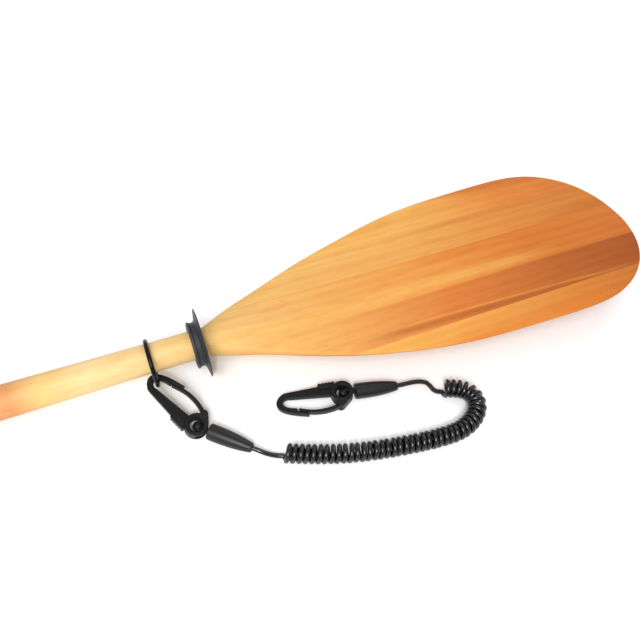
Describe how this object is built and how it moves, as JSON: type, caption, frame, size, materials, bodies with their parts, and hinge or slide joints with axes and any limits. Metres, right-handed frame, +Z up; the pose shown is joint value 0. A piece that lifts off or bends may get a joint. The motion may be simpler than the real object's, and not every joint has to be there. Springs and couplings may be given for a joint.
{
  "type": "single blade paddle",
  "caption": "Laminated wooden paddle with one flat blade, a cup-shaped drip ring and a loose ring on the shaft, and a coiled leash with a swivelling snap hook at each end.",
  "frame": {"origin": "on the floor that the paddle lies on, under the middle of the bounding box of its wood and rings", "axes": "+X along the shaft towards the tip of the blade, +Z up from the floor, square to the flat of the blade apart from the small angle at which the paddle rests; +Y across the blade, away from the leash"},
  "size_m": [1.4214, 0.2801, 0.07],
  "materials": {
    "core_wood": "clear varnish over pale yellow wood",
    "honey_wood": "clear varnish over honey-coloured wood",
    "pale_wood": "clear varnish over light orange wood",
    "red_wood": "clear varnish over red-brown wood",
    "grip_wood": "clear varnish over honey-coloured wood",
    "drip_rubber": "matt black rubber",
    "ring_rubber": "glossy black",
    "hook_plastic": "satin black nylon",
    "pin_plastic": "satin black nylon",
    "sleeve_plastic": "satin black moulding",
    "ferrule_metal": "plain",
    "cord_skin": "glossy black polyurethane"
  },
  "bodies": {
    "paddle": {"shaft": "core_wood", "upper_inner_plank": "honey_wood", "upper_outer_plank": "pale_wood", "lower_inner_plank": "red_wood", "lower_outer_plank": "pale_wood", "grip_cheek_left": "grip_wood", "grip_cheek_right": "grip_wood"},
    "drip_ring": {"drip_ring": "drip_rubber"},
    "hook_a": {"hook_a_body": "hook_plastic", "hook_a_gate_pin": "pin_plastic"},
    "shaft_ring": {"shaft_ring": "ring_rubber"},
    "gate_a": {"hook_a_gate": "hook_plastic"},
    "swivel_a": {"swivel_a_pin": "pin_plastic"},
    "leash": {"sleeve_a": "sleeve_plastic", "ferrule_a": "ferrule_metal", "leash_lead_a": "cord_skin", "leash_coil": "cord_skin", "leash_lead_b": "cord_skin", "ferrule_b": "ferrule_metal", "sleeve_b": "sleeve_plastic"},
    "swivel_b": {"swivel_b_pin": "pin_plastic"},
    "hook_b": {"hook_b_body": "hook_plastic", "hook_b_gate_pin": "pin_plastic"},
    "gate_b": {"hook_b_gate": "hook_plastic"}
  },
  "joints": [
    {"name": "drip_ring_slide", "type": "slide", "parent": "paddle", "child": "drip_ring", "axis": [0.9997, 0, 0.0231], "range_m": [-0.014, 0.002]},
    {"name": "hook_a_travel", "type": "slide", "parent": "paddle", "child": "hook_a", "axis": [0.9998, -0.0072, 0.0182], "range_m": [-0.06, 0.004]},
    {"name": "shaft_ring_turn", "type": "hinge", "parent": "hook_a", "child": "shaft_ring", "pos_m": [0.13989, -0.00922, 0.03088], "axis": [0.9997, 0, 0.0231], "continuous": true},
    {"name": "gate_a_swing", "type": "hinge", "parent": "hook_a", "child": "gate_a", "pos_m": [0.17274, -0.06792, 0.00882], "axis": [0.0803, -0.1572, 0.9843], "range_deg": [0, 12], "stiffness_Nm_per_rad": 0.2, "springref_deg": -8.59},
    {"name": "swivel_a_swing", "type": "hinge", "parent": "hook_a", "child": "swivel_a", "pos_m": [0.16322, -0.07609, 0.00829], "axis": [0, 0, 1], "range_deg": [-45, 0]},
    {"name": "leash_lift", "type": "hinge", "parent": "swivel_a", "child": "leash", "pos_m": [0.16322, -0.07609, 0.00829], "axis": [0.7384, -0.6743, -0.007], "range_deg": [0, 6]},
    {"name": "swivel_b_turn", "type": "hinge", "parent": "leash", "child": "swivel_b", "pos_m": [0.30801, -0.09098, 0.0082], "axis": [0.9806, -0.1959, 0], "continuous": true},
    {"name": "swivel_b_swing", "type": "hinge", "parent": "swivel_b", "child": "hook_b", "pos_m": [0.30801, -0.09098, 0.0082], "axis": [0, 0, 1], "range_deg": [-30, 30]},
    {"name": "gate_b_swing", "type": "hinge", "parent": "hook_b", "child": "gate_b", "pos_m": [0.30268, -0.10236, 0.008], "axis": [0.0662, -0.0132, -0.9977], "range_deg": [0, 12], "stiffness_Nm_per_rad": 0.2, "springref_deg": -8.59}
  ]
}
